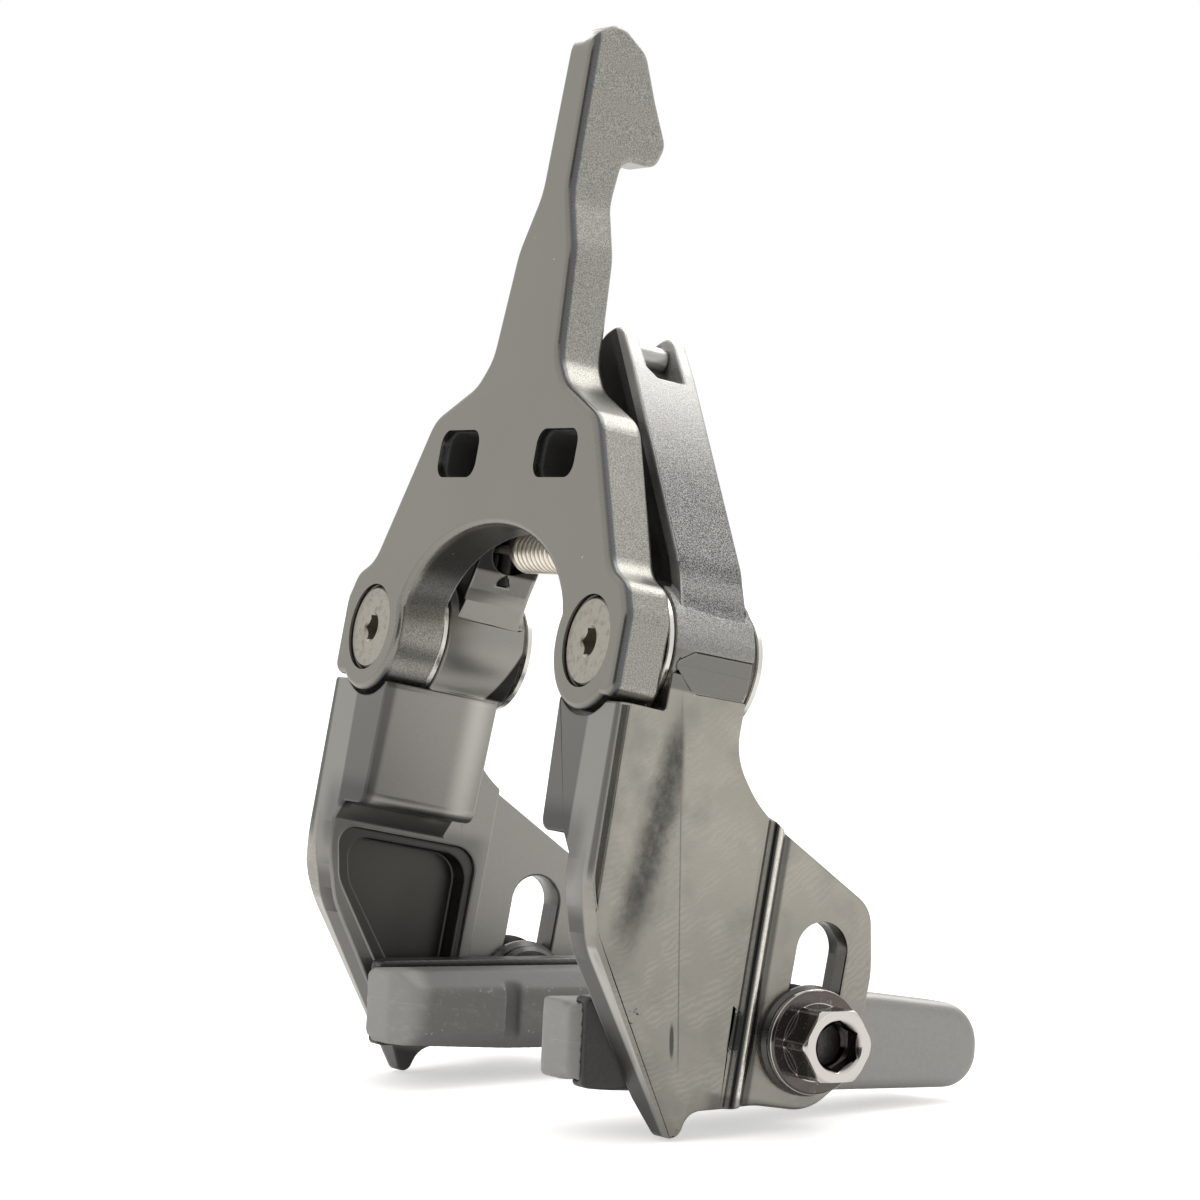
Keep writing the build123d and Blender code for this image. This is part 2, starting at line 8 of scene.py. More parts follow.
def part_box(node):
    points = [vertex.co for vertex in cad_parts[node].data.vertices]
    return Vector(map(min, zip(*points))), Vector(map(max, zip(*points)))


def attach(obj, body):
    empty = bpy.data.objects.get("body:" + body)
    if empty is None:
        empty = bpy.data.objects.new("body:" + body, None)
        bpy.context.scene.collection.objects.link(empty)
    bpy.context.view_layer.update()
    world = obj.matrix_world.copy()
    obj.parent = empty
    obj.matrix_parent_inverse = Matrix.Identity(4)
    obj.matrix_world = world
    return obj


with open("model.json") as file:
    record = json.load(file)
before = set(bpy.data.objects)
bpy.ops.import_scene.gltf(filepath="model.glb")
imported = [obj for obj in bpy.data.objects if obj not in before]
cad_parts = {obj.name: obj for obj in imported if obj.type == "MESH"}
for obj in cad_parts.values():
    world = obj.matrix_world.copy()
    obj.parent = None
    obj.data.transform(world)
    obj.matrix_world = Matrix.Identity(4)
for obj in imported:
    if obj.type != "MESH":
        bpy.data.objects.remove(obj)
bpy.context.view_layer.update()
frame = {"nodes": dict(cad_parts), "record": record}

record = frame["record"]
nodes = frame["nodes"]
MM = 0.001

# Camera: a long lens, low, in front of the right arm. It looks a little up and is rolled, because
# the caliper leans back on its table while this script keeps the caliper upright.
cam_data = bpy.data.cameras.new("camera")
camera = bpy.data.objects.new("camera", cam_data)
bpy.context.scene.collection.objects.link(camera)
bpy.context.scene.camera = camera
cam_data.sensor_fit = "HORIZONTAL"
cam_data.angle = math.radians(14.831)
cam_data.clip_start, cam_data.clip_end = 0.02, 20.0
heading, look_up, roll = math.radians(61.645), math.radians(4.102), math.radians(10.319)
camera_place = Vector((482.82, -263.82, -32.29)) * MM
aim = Matrix.Rotation(heading, 4, "Z") @ Matrix.Rotation(math.pi / 2 + look_up, 4, "X")
camera.matrix_world = Matrix.Translation(camera_place) @ aim @ Matrix.Rotation(roll, 4, "Z")


# Table and light tent: the caliper stands on a white sheet on its two arm tips and the ends of
# its pads. Soft white cloth lights it from all sides; only the opening with the camera is dark.
def plug(target, value):
    """links a socket of a node to another socket, or gives it a constant value"""
    if isinstance(value, Maths):
        value = value.socket
    if isinstance(value, bpy.types.NodeSocket):
        target.id_data.links.new(value, target)
    else:
        target.default_value = value


def add_node(tree, kind, settings, sockets):
    """a new node: its settings come first, then the values or links of its sockets"""
    new = tree.nodes.new(kind)
    for key, value in settings.items():
        setattr(new, key, value)
    for key, value in sockets.items():
        plug(new.inputs[key], value)
    return new


class Maths:
    """a shader socket with arithmetic; every result is again such a socket"""

    def __init__(self, tree, socket):
        self.tree, self.socket = tree, socket

    def math(self, kind, *others):
        new = add_node(self.tree, "ShaderNodeMath", {"operation": kind}, dict(enumerate((self,) + others)))
        return Maths(self.tree, new.outputs[0])

    def __add__(self, other):
        return self.math("ADD", other)

    __radd__ = __add__

    def __mul__(self, other):
        return self.math("MULTIPLY", other)

    __rmul__ = __mul__

    def __sub__(self, other):
        return self.math("SUBTRACT", other)

    def __rsub__(self, other):
        return self * -1.0 + other

    def most(self, other):
        return self.math("MAXIMUM", other)

    def least(self, other):
        return self.math("MINIMUM", other)

    def step(self, low, high):
        """0 at low, 1 at high, smooth between; low may lie above high"""
        new = add_node(self.tree, "ShaderNodeMapRange", {"interpolation_type": "SMOOTHSTEP"},
                       {"Value": self, "From Min": low, "From Max": high})
        return Maths(self.tree, new.outputs["Result"])

    def line(self, centre, width):
        """1 on the value centre, falling to 0 at width to either side"""
        return (self - centre).math("ABSOLUTE").step(width, 0.0)

    def patch(self, centre, width):
        """1 within width to either side of the value centre, with a narrow edge"""
        return self.line(centre, width).step(0.0, 0.1)


def plain_mesh(name, points, faces):
    mesh = bpy.data.meshes.new(name)
    mesh.from_pydata(points, [], faces)
    mesh.update()
    piece = bpy.data.objects.new(name, mesh)
    bpy.context.scene.collection.objects.link(piece)
    return piece


def ray_kinds(tree):
    """1 on rays that are seen directly, mirrored in metal, or passed through glass"""
    paths = add_node(tree, "ShaderNodeLightPath", {}, {})
    kinds = ("Camera", "Glossy", "Transmission")
    return [Maths(tree, paths.outputs["Is %s Ray" % kind]) for kind in kinds]


lean = math.radians(13.2)
half_table = 1.5
table_middle = Vector((0, -1.7, -53.6)) * MM
across_table = Vector((half_table, 0, 0))
along_table = Vector((0, math.cos(lean), math.sin(lean))) * half_table
signs = ((-1, -1), (1, -1), (1, 1), (-1, 1))
corners = [table_middle + across_table * i + along_table * j for i, j in signs]
table = plain_mesh("table", [tuple(c) for c in corners], [(0, 1, 2, 3)])
sheet = bpy.data.materials.new("white_sheet")
sheet.use_nodes = True
tree = sheet.node_tree
paper = tree.nodes["Principled BSDF"]
plug(paper.inputs["Base Color"], (0.94, 0.93, 0.925, 1))
plug(paper.inputs["Roughness"], 0.9)
plug(paper.inputs["Specular IOR Level"], 0.1)
seen_direct, mirrored, through = ray_kinds(tree)
shown = seen_direct.most(mirrored * 0.5).most(through) * 0.5
glow = add_node(tree, "ShaderNodeEmission", {}, {"Strength": shown})
together = add_node(tree, "ShaderNodeAddShader", {}, {0: paper.outputs[0], 1: glow.outputs[0]})
plug(tree.nodes["Material Output"].inputs[0], together.outputs[0])
table.data.materials.append(sheet)

world = bpy.data.worlds.new("light_tent")
bpy.context.scene.world = world
world.use_nodes = True
tent_tree = world.node_tree
ray = add_node(tent_tree, "ShaderNodeTexCoord", {}, {}).outputs["Generated"]


def toward(x, y, z):
    """cosine of the angle between a ray and the direction x, y, z"""
    new = add_node(tent_tree, "ShaderNodeVectorMath", {"operation": "DOT_PRODUCT"},
                   {0: ray, 1: Vector((x, y, z)).normalized()})
    return Maths(tent_tree, new.outputs["Value"])


opening = toward(0.62, -0.78, 0.02).step(0.86, 0.975)
overhead = toward(-0.1, 0.35, 0.93).step(0.35, 0.95)
lid = toward(-0.42, 0.45, 0.79).step(0.92, 0.97)
tent = (0.84 + overhead * 0.3) * (1.0 - opening * 0.9)
mirror_image = (1.0 + overhead * 0.1 + lid * 2.4) * (1.0 - opening * 0.92)
seen_direct, mirrored, through = ray_kinds(tent_tree)
strength = tent * (1.0 - mirrored) + mirror_image * mirrored
cloth = add_node(tent_tree, "ShaderNodeBackground", {},
                 {"Color": (1.0, 0.992, 0.975, 1), "Strength": strength})
backdrop = add_node(tent_tree, "ShaderNodeBackground", {}, {"Color": (1, 1, 1, 1), "Strength": 1.0})
pick = add_node(tent_tree, "ShaderNodeMixShader", {},
                {0: seen_direct.most(through), 1: cloth.outputs[0], 2: backdrop.outputs[0]})
plug(tent_tree.nodes["World Output"].inputs[0], pick.outputs[0])


def panel(name, place, height, wide, watts):
    """square cloth lamp at place, in millimetres, facing the middle of the part at a height"""
    data = bpy.data.lights.new(name, "AREA")
    data.size, data.energy, data.color = wide * MM, watts, (1.0, 0.98, 0.95)
    lamp = bpy.data.objects.new(name, data)
    bpy.context.scene.collection.objects.link(lamp)
    lamp.location = Vector(place) * MM
    lamp.rotation_euler = (Vector((0, 0, height)) - Vector(place)).to_track_quat("-Z", "Y").to_euler()


panel("lamp_above", (40, 180, 460), 10, 180, 0.3)
panel("lamp_left", (-380, -40, 330), 20, 120, 0.16)
bpy.context.scene.view_settings.view_transform = "Standard"


# Front plate: forged aluminium, blasted to a fine satin and anodised dark, with a few pale dust
# specks on it. It is screwed to the two pivot posts; its flat front is smoother than its sides.
front_y = round(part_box("front_plate")[0][1] / MM, 2)


class Finish:
    """a material under construction; textures lie in the part's own millimetres"""

    def __init__(self, name):
        self.material = bpy.data.materials.new(name)
        self.material.use_nodes = True
        self.tree = self.material.node_tree
        self.bsdf = self.tree.nodes["Principled BSDF"]
        self.place = self.add("ShaderNodeTexCoord", {}, {}).outputs["Object"]
        parts = self.add("ShaderNodeSeparateXYZ", {}, {0: self.place})
        self.x, self.y, self.z = (Maths(self.tree, s) * 1000.0 for s in parts.outputs)
        self.side = self.x.math("ABSOLUTE")
        self.depth = self.y - front_y

    def add(self, kind, settings, sockets):
        return add_node(self.tree, kind, settings, sockets)

    def at(self, scale, move):
        """coordinates per millimetre, each axis times its own scale and moved"""
        scale = [1000.0 * s for s in scale]
        spot = self.add("ShaderNodeMapping", {}, {"Vector": self.place, "Scale": scale, "Location": move})
        return spot.outputs[0]

    def grain(self, per_mm, detail, rough, stretch=(1, 1, 1), move=0.0):
        """cloudy noise from 0 to 1, per_mm swings in each millimetre"""
        place = self.at([per_mm * s for s in stretch], [move] * 3)
        n = self.add("ShaderNodeTexNoise", {},
                     {"Vector": place, "Scale": 1.0, "Detail": detail, "Roughness": rough})
        return Maths(self.tree, n.outputs["Fac"])

    def arcs(self, per_mm, wobble, centre):
        """rings round the X axis through a centre, bent by a wobble, like marks of a polishing mop"""
        place = self.at([per_mm] * 3, [v * per_mm for v in centre])
        n = self.add("ShaderNodeTexWave", {"wave_type": "RINGS", "rings_direction": "X"},
                     {"Vector": place, "Scale": 1.0, "Distortion": wobble, "Detail": 3.0})
        return Maths(self.tree, n.outputs["Fac"])

    def specks(self, per_mm, size, share):
        """small round dots: one in each cell of the pattern, kept in a share of the cells"""
        place = self.at([per_mm] * 3, [0.0] * 3)
        cells = self.add("ShaderNodeTexVoronoi", {}, {"Vector": place, "Scale": 1.0})
        chance = self.add("ShaderNodeSeparateXYZ", {}, {0: cells.outputs["Color"]})
        kept = Maths(self.tree, chance.outputs[0]).math("LESS_THAN", share)
        return Maths(self.tree, cells.outputs["Distance"]).step(size, size * 0.5) * kept

    def blend(self, low, high, factor):
        """colour low where the factor is 0, high where it is 1"""
        ends = [c if isinstance(c, bpy.types.NodeSocket) else (*c, 1) for c in (low, high)]
        mix = self.add("ShaderNodeMix", {"data_type": "RGBA"}, {"A": ends[0], "B": ends[1], "Factor": factor})
        return mix.outputs["Result"]

    def ground(self, low, high, factor):
        """the first coat, a blend of two colours"""
        self.painted = self.blend(low, high, factor)
        plug(self.bsdf.inputs["Base Color"], self.painted)

    def paint(self, colour, cover):
        """a further coat, laid over what is painted so far where cover is 1"""
        self.ground(self.painted, colour, cover)

    def shine(self, metallic, roughness):
        plug(self.bsdf.inputs["Metallic"], metallic)
        plug(self.bsdf.inputs["Roughness"], roughness)

    def relief(self, height, depth):
        """the height 0 to 1 stands up by depth, in millimetres"""
        bump = self.add("ShaderNodeBump", {}, {"Strength": 1.0, "Distance": depth * MM, "Height": height})
        plug(self.bsdf.inputs["Normal"], bump.outputs[0])


def dress(names, finish, rounding=0.0):
    """gives CAD nodes their finish; rounding, in millimetres, breaks the sharp rims"""
    for name in names:
        piece = nodes[name]
        piece.data.materials.clear()
        piece.data.materials.append(finish.material)
        if rounding:
            # the imported mesh is loose triangles, so they are joined before the rims are rounded
            piece.modifiers.new("joined", "WELD").merge_threshold = 0.002 * MM
            flats = piece.modifiers.new("flats", "DECIMATE")
            flats.decimate_type, flats.angle_limit = "DISSOLVE", math.radians(0.5)
            bevel = piece.modifiers.new("broken_edges", "BEVEL")
            bevel.width, bevel.segments = rounding * MM, 2
            bevel.limit_method, bevel.angle_limit = "ANGLE", math.radians(32)
            bevel.use_clamp_overlap = False


def pair(name):
    return ["right_" + name, "left_" + name]


plate = Finish("plate_satin")
fine = plate.grain(5.0, 3.0, 0.6)
sandy = plate.grain(7.0, 1.0, 0.7).step(0.36, 0.64)
cloud = plate.grain(0.05, 2.0, 0.5)
dust = plate.specks(0.35, 0.035, 0.3)
blasted = plate.depth.step(0.25, 1.2)
# the walls of the two windows and of the arch are in deep shade, painted near black; the front rim
# has a painted dark reflection along it, and the top of the hook a painted highlight
wall = plate.depth.step(0.7, 1.6) * plate.depth.step(6.15, 6.0)
window = plate.side.patch(12.4, 7.0) * plate.z.patch(21.6, 4.6) * wall
arch = plate.side.step(21.6, 21.0) * plate.z.step(14.4, 13.0) * plate.z.step(-2.0, 9.0) * wall
in_arch = plate.side.step(22.5, 21.5) * plate.z.step(15.5, 14.5)
dark_rim_reflection = plate.depth.line(0.72, 0.66).step(0.0, 0.7) * (1.0 - in_arch)
hook_top = plate.z.step(70.3, 71.2) * plate.x.step(1.5, -0.5)
hook_highlight = hook_top * plate.depth.step(0.06, 0.3) * plate.depth.step(2.6, 1.4)
plate.ground((0.212, 0.206, 0.182), (0.232, 0.225, 0.2), cloud)
plate.paint(plate.blend((0.2, 0.197, 0.18), (0.385, 0.378, 0.35), sandy), blasted)
# painted dark reflection on the front rim, painted highlight on the hook, painted shade in the walls
plate.paint((0.045, 0.052, 0.066), dark_rim_reflection * 0.7)
plate.paint((0.9, 0.9, 0.88), hook_highlight * 0.8)
plate.paint((0.02, 0.02, 0.019), window.most(arch * 0.8) * 0.94)
plate.paint((0.75, 0.74, 0.7), dust)
plate.shine(0.92 - window * 0.9, 0.22 + fine * 0.08 + blasted * 0.05 + window * 0.6)
plate.relief(fine * (0.25 + blasted * 0.75), 0.012)
dress(["front_plate"], plate)


# Arms: forged and machined aluminium, anodised dark. The lever is blasted to a glittering grain,
# the outer face of the blade is polished by hand, front strip and inner side stay satin. Each arm
# turns on its pivot post and holds the stud of its pad in the slot of its ear.
def middle(name):
    """the middle of a node's box in millimetres, to a tenth"""
    return [round((low + high) / 2 / MM, 1) for low, high in zip(*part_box(name))]


stud_y, stud_z = middle("right_pad_stud")[1:]
stud_depth = stud_y - front_y
arm = Finish("arm_anodised")
depth = arm.depth
glitter = arm.grain(6.0, 1.0, 0.8)
crisp = glitter.step(0.36, 0.64)
satin = arm.grain(5.5, 2.0, 0.6)

# the lever: brim is how far a point lies inside the lever's two sloping outer faces
brim = (40.0 - arm.z * 0.827).least(37.2 - arm.z * 0.576) - arm.side
lever = arm.z.step(-0.6, 3.2) * brim.step(4.2, 2.8)
lever_front = depth.step(8.42, 8.32) * arm.z.step(2.0, 9.0)
# painted light on the outer brim of the lever's front face; the rest of that face, hidden by the plate, is
# painted near-black shade
lit_brow = lever_front * brim.step(2.15, 1.95)
shade_under_plate = lever_front * brim.step(1.95, 2.15)
# painted highlight: the lever is painted paler towards its top and in two bands near its foot
lever_highlight = arm.z.step(18.0, 40.0) * 0.61 + arm.z.line(8.4, 2.2) * 0.12 + arm.z.line(3.0, 3.8) * 0.24

# the polished blade lies behind the front ridge, which runs straight down to a knee and then back
knee_z = -33.9
ridge = (0.9 - (arm.z + 2.0) * 0.012).most(3.4 - (arm.z - knee_z) * 0.7212)
behind = depth - ridge
outer = arm.side.step(34.2, 34.8) * arm.z.step(-0.9, -1.1) * behind.step(0.12, 0.3)
swirl = arm.grain(1.1, 5.0, 0.72) * 0.6 + arm.grain(0.18, 3.0, 0.5) * 0.4
mop_marks = arm.arcs(0.45, 9.0, (0, 45.0, -25.0)) * arm.grain(0.25, 2.0, 0.5, move=8.0).step(0.42, 0.6)
brushed = arm.grain(3.0, 3.0, 0.7, (1, 1.8, 0.25))
tarnish = arm.grain(0.14, 3.0, 0.55, move=5.0).step(0.45, 0.68) * outer

# the crease between its two planes, a line of painted shade, with a painted dark reflection
# in front of it and a stain near the tip
crease = depth - (7.95 - arm.z * 0.195)
crease_shade = crease.line(0.0, 0.16) * arm.z.step(-3.5, -6.0) * arm.z.step(-47.0, -43.0)
streak = depth - (11.1 + arm.z * 0.14) + arm.grain(0.5, 4.0, 0.7, move=2.0) * 2.0 - 1.0
dark_reflection = streak.step(3.2, 0.4) * streak.step(-3.4, -0.4) * crease.step(0.7, -0.1)
dark_reflection = dark_reflection * arm.z.step(-3.0, -11.0) * arm.z.step(-38.0, -27.0) * (0.45 + arm.grain(0.9, 4.0, 0.7) * 0.9)
stain = arm.grain(0.9, 3.0, 0.7, move=3.7).step(0.5, 0.58) * depth.line(9.7, 1.3) * arm.z.line(-40.6, 2.6)
stain = stain.most((crease + 0.9).line(0.0, 0.5) * arm.z.line(-42.4, 3.0)).step(0.1, 0.6)

# the rib before the slotted ear: its place goes back a little with height below the pivot
below = arm.z * -1.0
rib = depth - below.least(32.0) * 0.0156 - (below - 32.0).most(0.0) * 0.0175
lens = rib.line(22.0, 0.95).step(0.1, 0.5) * (arm.z + satin * 3.0).line(-38.6, 3.6).step(0.1, 0.5)
groove = rib.line(22.7, 0.4).step(0.05, 0.5).most(lens) * outer
# painted highlight on the crest of the rib, and painted shade in a band behind it
lit_rib = rib.line(23.35, 0.36).step(0.1, 0.6) * (0.45 + crisp * 0.55) * outer
shade_behind_rib = rib.line(24.7, 1.1).step(0.05, 0.7) * outer

# the strip in front of the ridge, with a painted dark reflection along the ridge and a painted
# highlight low down; the facet under the boss; the sole of the ear in painted shade
dark_reflection_under_ridge = behind.step(-0.95, -0.6) * behind.step(0.2, -0.05) * arm.side.step(35.4, 36.0)
dark_reflection_under_ridge = dark_reflection_under_ridge * arm.z.step(-4.5, -7.0) * arm.z.step(-38.0, -30.0)
strip_low_highlight = arm.z.step(-24.0, -33.0) * depth.step(16.0, 11.0) * (1.0 - outer)
facet = arm.z.step(-4.0, -3.6) * arm.z.step(1.0, 0.6) * arm.side.step(35.6, 35.8)
shaded_sole = (arm.z + 47.9).step(0.9, 0.2) * depth.step(20.0, 22.0) * outer

# the inner side: raised block, pocket, web, and the walls of the ear's slot, round at both ends;
# painted shade lies in the groin before the block, on the web and on the slot walls
slot_half, slot_r = 5.5, 3.5
block = arm.side.step(30.2, 29.6) * arm.z.step(-5.0, -6.5) * arm.z.step(-22.6, -21.8)
groin_shade = arm.side.step(35.0, 31.6) * depth.step(2.6, 1.0) * arm.z.step(-17.0, -22.0) * 0.75
groin_shade = groin_shade + block * depth.line(1.6, 1.5).step(0.0, 0.8)
web_shade = arm.side.step(34.9, 34.6) * arm.z.step(-22.0, -24.0) * depth.step(24.5, 20.5) * depth.step(0.6, 2.0)
pocket = arm.side.step(30.75, 31.2) * arm.side.step(34.6, 34.35) * arm.z.step(-23.6, -24.6)
pocket = pocket * depth.step(22.6, 22.0) * depth.step(1.6, 2.6)
past_end = ((arm.z - stud_z - 4.7).math("ABSOLUTE") - slot_half).most(0.0)
off_line = depth - stud_depth
slot = (past_end * past_end + off_line * off_line).math("SQRT").step(slot_r, slot_r - 0.1)
slot = slot * arm.side.step(36.95, 36.75)

# what the plate and the boss keep in the dark when seen from the front
shade_beside_boss = arm.side.step(28.5, 27.0) * (depth - (17.2 + arm.z * 0.42)).step(-0.1, 0.25)
shade_beside_boss = shade_beside_boss * arm.z.step(-6.4, -6.0) * arm.z.step(9.0, 8.0)
left_lever_shade = depth.step(16.4, 16.2) * arm.x.step(0.5, -0.5) * arm.z.line(21.0, 8.0).step(0.0, 0.3)
left_lever_shade = left_lever_shade * brim.step(2.0, 3.0) * 0.8
spring_pocket_shade = depth.step(16.9, 16.7) * arm.side.step(24.5, 23.0) * arm.side.step(14.0, 15.5)
spring_pocket_shade = spring_pocket_shade * arm.z.patch(12.0, 3.4)

stain_and_shade = (0.045, 0.046, 0.044)
arm.ground((0.245, 0.241, 0.227), (0.315, 0.306, 0.282), satin)
arm.paint(arm.blend((0.05, 0.05, 0.049), (0.25, 0.248, 0.24), crisp), lever)
arm.paint((0.78, 0.775, 0.755), lever * lever_highlight)
arm.paint((0.5, 0.495, 0.48), lit_brow * 0.4)
arm.paint((0.52, 0.51, 0.475), strip_low_highlight * 0.75)
arm.paint((0.345, 0.33, 0.29), outer * (0.55 + swirl * 0.8).least(1.0))
# painted shade: the polished blade is painted darker towards its bottom
arm.paint((0.2, 0.192, 0.17), outer * arm.z.step(-16.0, -36.0) * (0.35 + swirl * 0.6))
arm.paint((0.5, 0.485, 0.44), outer * mop_marks * 0.14)
arm.paint((0.15, 0.15, 0.142), tarnish * 0.35)
arm.paint((0.19, 0.186, 0.172), facet)
arm.paint((0.74, 0.72, 0.67), lit_rib)
# painted highlight near the rear of the block
arm.paint((0.62, 0.605, 0.56), block * depth.line(14.2, 2.6) * 0.55)
# painted shade in the groin, on the web, on the slot walls and on the sole of the ear
arm.paint((0.075, 0.074, 0.07), (groin_shade * 0.7).most(web_shade * 0.5).most(slot * 0.85).most(shaded_sole * 0.6))
# a stain, the groove, painted shade and painted dark reflections, all in one near-black colour
marks = (outer * (dark_reflection * 0.85).most(stain * 0.85).most(crease_shade * 0.5)).most(groove)
arm.paint(stain_and_shade, marks.most(shade_behind_rib * 0.72).most(dark_reflection_under_ridge * 0.8).least(1.0))
# painted shade beside the boss
arm.paint((0.02, 0.02, 0.019), shade_beside_boss)
arm.paint((0.055, 0.054, 0.05), pocket * 0.86)
# painted near-black shade under the plate, in the spring's pocket and on the left lever
arm.paint((0.016, 0.016, 0.015), shade_under_plate.most(spring_pocket_shade).most(left_lever_shade) * 0.92)
arm.shine(0.95, (0.31 - outer * 0.1 - facet * 0.03) + glitter * lever * 0.16 + satin * 0.06)
tooling = (swirl * 0.42 + brushed * 0.1) * outer
arm.relief(glitter * lever * 1.3 + (satin * 0.16) * (1.0 - lever) * (1.0 - outer * 0.8) + tooling, 0.055)
dress(pair("arm"), arm, 0.28)


# Pivots: turned steel posts, bronze bushes, hardened washers and countersunk socket screws.
# The screws are plain zinc-plated and a little stained; only the rims of the flanges show.
def plain_metal(names, title, colours, texture, metallic, roughness, depth):
    """one even finish: its texture blends two colours, swings the roughness and stands up by depth"""
    finish = Finish(title)
    pattern = finish.grain(*texture)
    finish.ground(*colours, pattern)
    least_rough, swing = roughness
    finish.shine(metallic, least_rough + pattern * swing)
    finish.relief(pattern, depth)
    dress(names, finish)


pivot_x = record["mounts"][0]["dims"]["spacing_x_mm"] / 2
screw = Finish("screw_steel")
off = screw.side - pivot_x
from_axis = (off * off + screw.z * screw.z).math("SQRT")
turned = (from_axis * 34.0).math("SINE") * 0.5 + 0.5
blot = screw.grain(1.1, 5.0, 0.75)
screw.ground((0.37, 0.345, 0.3), (0.24, 0.222, 0.195), blot.step(0.48, 0.7))
screw.shine(0.95, 0.26 + blot * 0.22)
screw.relief(turned * 0.3 + screw.grain(6.0, 2.0, 0.5) * 0.7, 0.01)
dress(pair("pivot_screw"), screw)
plain_metal(pair("pivot_post") + pair("thrust_washer"), "bright_steel",
            ((0.72, 0.7, 0.66), (0.56, 0.55, 0.52)), (2.0, 3.0, 0.6, (0.3, 6.0, 0.3)),
            1.0, (0.18, 0.14), 0.006)
plain_metal(pair("pivot_bush"), "bush_bronze",
            ((0.5, 0.33, 0.16), (0.36, 0.24, 0.12)), (4.0, 3.0, 0.6), 1.0, (0.3, 0.2), 0.006)


# Rollers on ground pins in the forks, where the wedge of the cable runs between them. The return
# spring is close-wound nickel-plated wire, hooked to a cross pin in each lever; the pin is painted
# near black, painted shade of the pocket round it.
plain_metal(pair("roller") + pair("roller_pin"), "ground_pin",
            ((0.5, 0.5, 0.48), (0.36, 0.36, 0.35)), (3.0, 3.0, 0.6, (1, 0.3, 1)), 0.95, (0.24, 0.16), 0.006)
plain_metal(["return_spring"], "spring_nickel",
            ((0.93, 0.87, 0.77), (0.76, 0.7, 0.6)), (1.5, 3.0, 0.6), 0.9, (0.24, 0.2), 0.01)
plain_metal(pair("spring_anchor"), "anchor_shade_black",
            ((0.018, 0.018, 0.018), (0.035, 0.034, 0.032)), (3.0, 3.0, 0.6), 0.8, (0.4, 0.15), 0.006)


# Pad holders: cast and blasted aluminium channels, coated satin; painted shade makes the front near
# black and painted light makes it paler towards the tail. The grub screw in the back of each one
# keeps the rubber from creeping out.
def soften(names, finish, voxel, rounds):
    """finish for a moulded or cast piece, whose rims all get round by smoothing a fine even mesh"""
    dress(names, finish)
    for name in names:
        stack = nodes[name].modifiers
        stack.new("joined", "WELD").merge_threshold = 0.002 * MM
        even = stack.new("even", "REMESH")
        even.mode, even.voxel_size, even.use_smooth_shade = "VOXEL", voxel * MM, True
        smooth = stack.new("soft_rims", "SMOOTH")
        smooth.factor, smooth.iterations = 0.5, rounds


coat = Finish("holder_satin")
cast = coat.grain(2.6, 3.0, 0.62)
lit_tail = (coat.depth - stud_depth).step(-9.0, 4.0) * coat.side.step(24.0, 27.0)
# painted shade: near black at the front; painted light: paler towards the tail
coat.ground((0.045, 0.045, 0.044), (0.075, 0.074, 0.072), cast)
coat.paint(coat.blend((0.24, 0.238, 0.228), (0.32, 0.316, 0.3), cast), lit_tail)
coat.shine(0.75, 0.34 + cast * 0.14)
coat.relief(cast, 0.02)
soften(pair("pad_holder"), coat, 0.22, 8)
plain_metal(pair("pad_set_screw"), "grub_screw",
            ((0.06, 0.06, 0.062), (0.1, 0.1, 0.1)), (3.0, 3.0, 0.6), 0.8, (0.3, 0.15), 0.01)


# Brake rubbers: moulded in two halves, so a thin flash crosses their front ends at mid height.
# The worn face is dull and carries pale grit from the rim; the pads rise towards their tails.
pad_rise = math.radians(8.8)
rubber = Finish("pad_rubber")
mould = rubber.grain(3.2, 3.0, 0.6)
along = rubber.depth - stud_depth
level = rubber.z - stud_z + 1.2 - along * math.tan(pad_rise)
worn = rubber.side.step(16.7, 16.2) * level.line(0.0, 4.4).step(0.0, 0.12)
fore = along.step(-20.0, -22.6)
flash = level.line(0.0, 0.16) * (1.0 - worn) * fore
grit = rubber.specks(1.15, 0.2, 0.5) * (0.15 + worn * 0.85)
pits = rubber.grain(1.4, 5.0, 0.75).step(0.56, 0.66) * worn
smear = rubber.grain(0.5, 4.0, 0.7, (1, 0.5, 1.6)).step(0.5, 0.75)
rubber.ground((0.135, 0.133, 0.127), (0.19, 0.187, 0.18), mould)
rubber.paint((0.235, 0.232, 0.22), worn * (0.3 + smear * 0.5))
# painted highlight: the front ends of the rubbers are painted paler
rubber.paint((0.5, 0.49, 0.465), fore * (0.5 + smear * 0.15))
rubber.paint((0.3, 0.295, 0.28), pits * 0.5)
rubber.paint((0.5, 0.49, 0.46), (grit * 0.6 + flash * 0.4).least(1.0))
rubber.shine(0.0, 0.52 + mould * 0.1 + worn * 0.25)
rubber.relief(mould * 0.25 + flash * 0.75, 0.09)
soften(pair("brake_pad"), rubber, 0.25, 16)


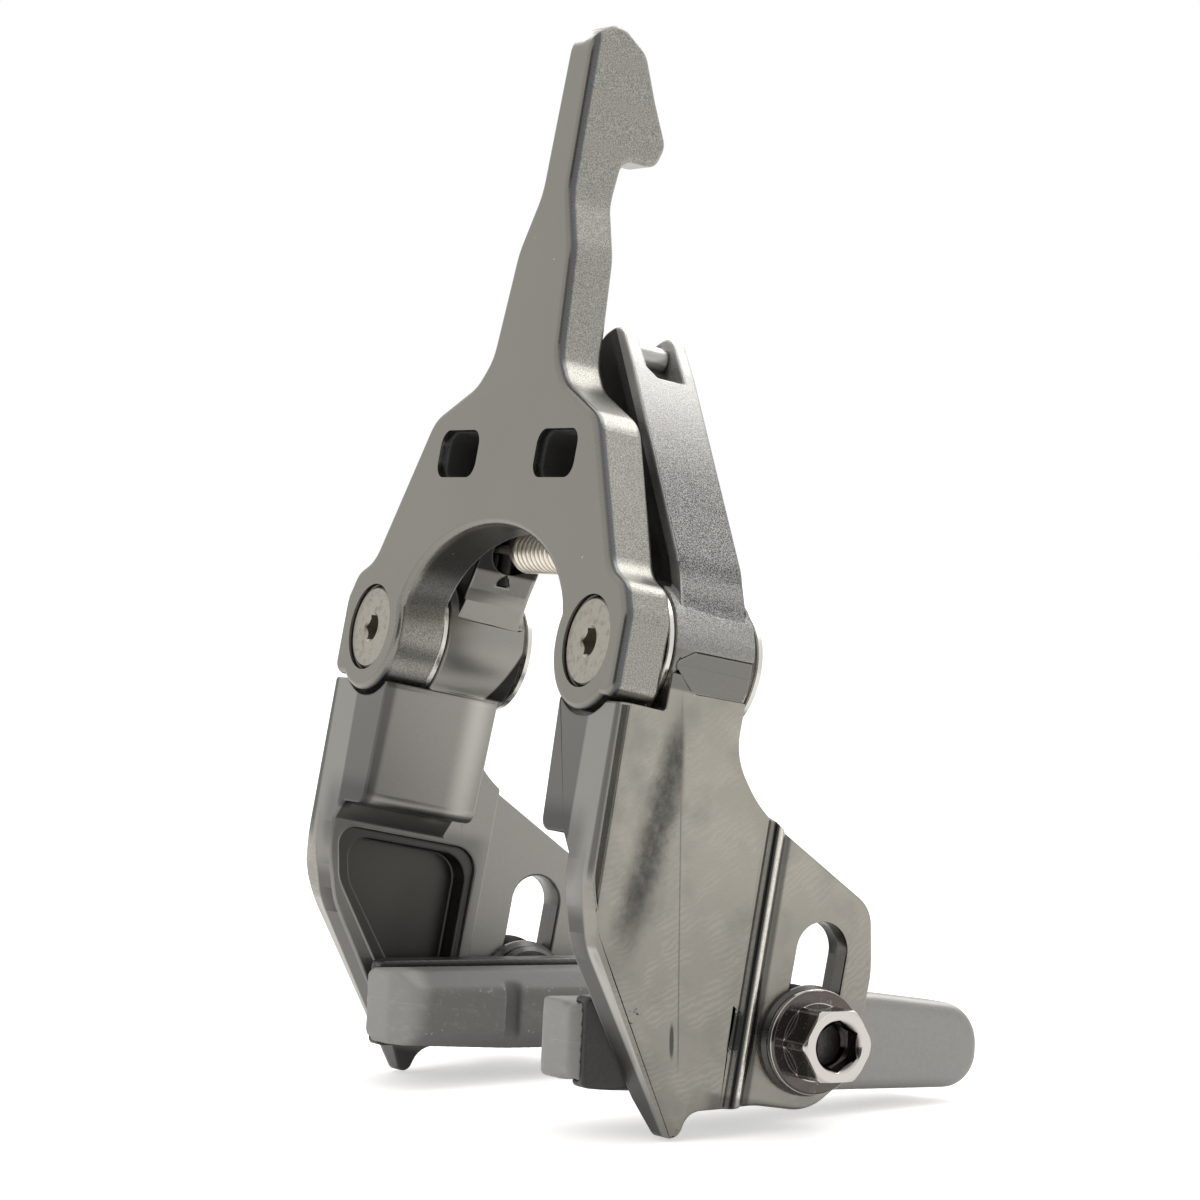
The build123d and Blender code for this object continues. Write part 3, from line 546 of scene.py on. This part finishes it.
# Pad fixings: a threaded stud through the slot of the ear, cup and ball washers inside, a dished
# washer and a flanged sleeve nut outside, black-nickel plated and polished; the nut's rims are
# painted pale, its bore is darkened with painted shade, and crests of its thread stand above the
# end of the stud.
nut_top = round(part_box("right_pad_nut")[1][0] / MM, 2)
left_drop = stud_z - middle("left_pad_stud")[2]
dark = Finish("nut_dark")
plated = dark.grain(1.2, 5.0, 0.7)
scuff = dark.grain(2.2, 4.0, 0.75, (1, 2.5, 0.7)).step(0.62, 0.72)
sunk = dark.x.math("LESS_THAN", 0.0) * left_drop
across, up = dark.depth - stud_depth, dark.z - stud_z + sunk
from_stud = (across * across + up * up).math("SQRT")
pale_rims = from_stud.line(4.42, 0.09).most(from_stud.line(5.98, 0.1))
inside = from_stud.step(3.12, 2.9) * dark.side.step(nut_top - 0.05, nut_top - 0.4)
dark.ground((0.13, 0.115, 0.11), (0.08, 0.07, 0.068), plated)
dark.paint((0.56, 0.53, 0.51), dark.side.step(nut_top - 0.55, nut_top - 0.47))
dark.paint((0.62, 0.6, 0.57), pale_rims * (0.5 + plated))
# painted shade inside the nut's bore
dark.paint((0.04, 0.034, 0.033), inside * 0.9)
dark.paint((0.66, 0.63, 0.58), scuff * 0.6)
dark.shine(1.0, 0.1 + plated * 0.12 + scuff * 0.2)
dark.relief(plated * 0.5 + scuff * 0.5, 0.01)
dress(pair("pad_nut"), dark, 0.05)
plain_metal(pair("pad_cup_washer") + pair("pad_ball_washer") + pair("pad_outer_washer"), "washer_dark",
            ((0.06, 0.06, 0.06), (0.11, 0.108, 0.105)), (2.5, 3.0, 0.6), 0.95, (0.2, 0.14), 0.01)
stud = Finish("stud_steel")
rolled = stud.grain(2.0, 3.0, 0.6)
rings = (stud.side * (2 * math.pi)).math("SINE") * 0.5 + 0.5
stud.ground((0.05, 0.048, 0.047), (0.1, 0.096, 0.094), rolled)
stud.shine(0.95, 0.28 + rolled * 0.12)
stud.relief(rings * 0.7 + rolled * 0.3, 0.12)
dress(pair("pad_stud"), stud)


def thread_crests(name, side, axis_z):
    """a V of four profile points, each a distance along the stud and a radius, carried round the
    stud's axis while it moves one pitch along the axis in every turn"""
    pitch, turns, steps = 1.0, 1.25, 90
    root_r, crest_r = 3.0, 2.58
    start_x = nut_top - 3.95
    angle = np.linspace(0.0, 2 * math.pi * turns, steps + 1)[:, None]
    along_axis = np.array([-0.36, -0.05, 0.05, 0.36])[None, :]
    radius = np.array([root_r, crest_r, crest_r, root_r])[None, :]
    x = side * (start_x + angle / (2 * math.pi) * pitch + along_axis)
    points = np.stack([x, stud_y + radius * np.cos(angle), axis_z + radius * np.sin(angle)], 2) * MM
    corner = (4 * np.arange(steps)[:, None] + np.arange(3)[None, :]).reshape(-1)
    quads = np.stack([corner, corner + 1, corner + 5, corner + 4], 1)
    return plain_mesh(name, points.reshape(-1, 3).tolist(), quads.tolist())


for hand, side, axis_z in (("right", 1, stud_z), ("left", -1, stud_z - left_drop)):
    crests = thread_crests(hand + "_nut_thread", side, axis_z)
    crests.data.materials.append(dark.material)
    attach(crests, hand + "_pad_body")
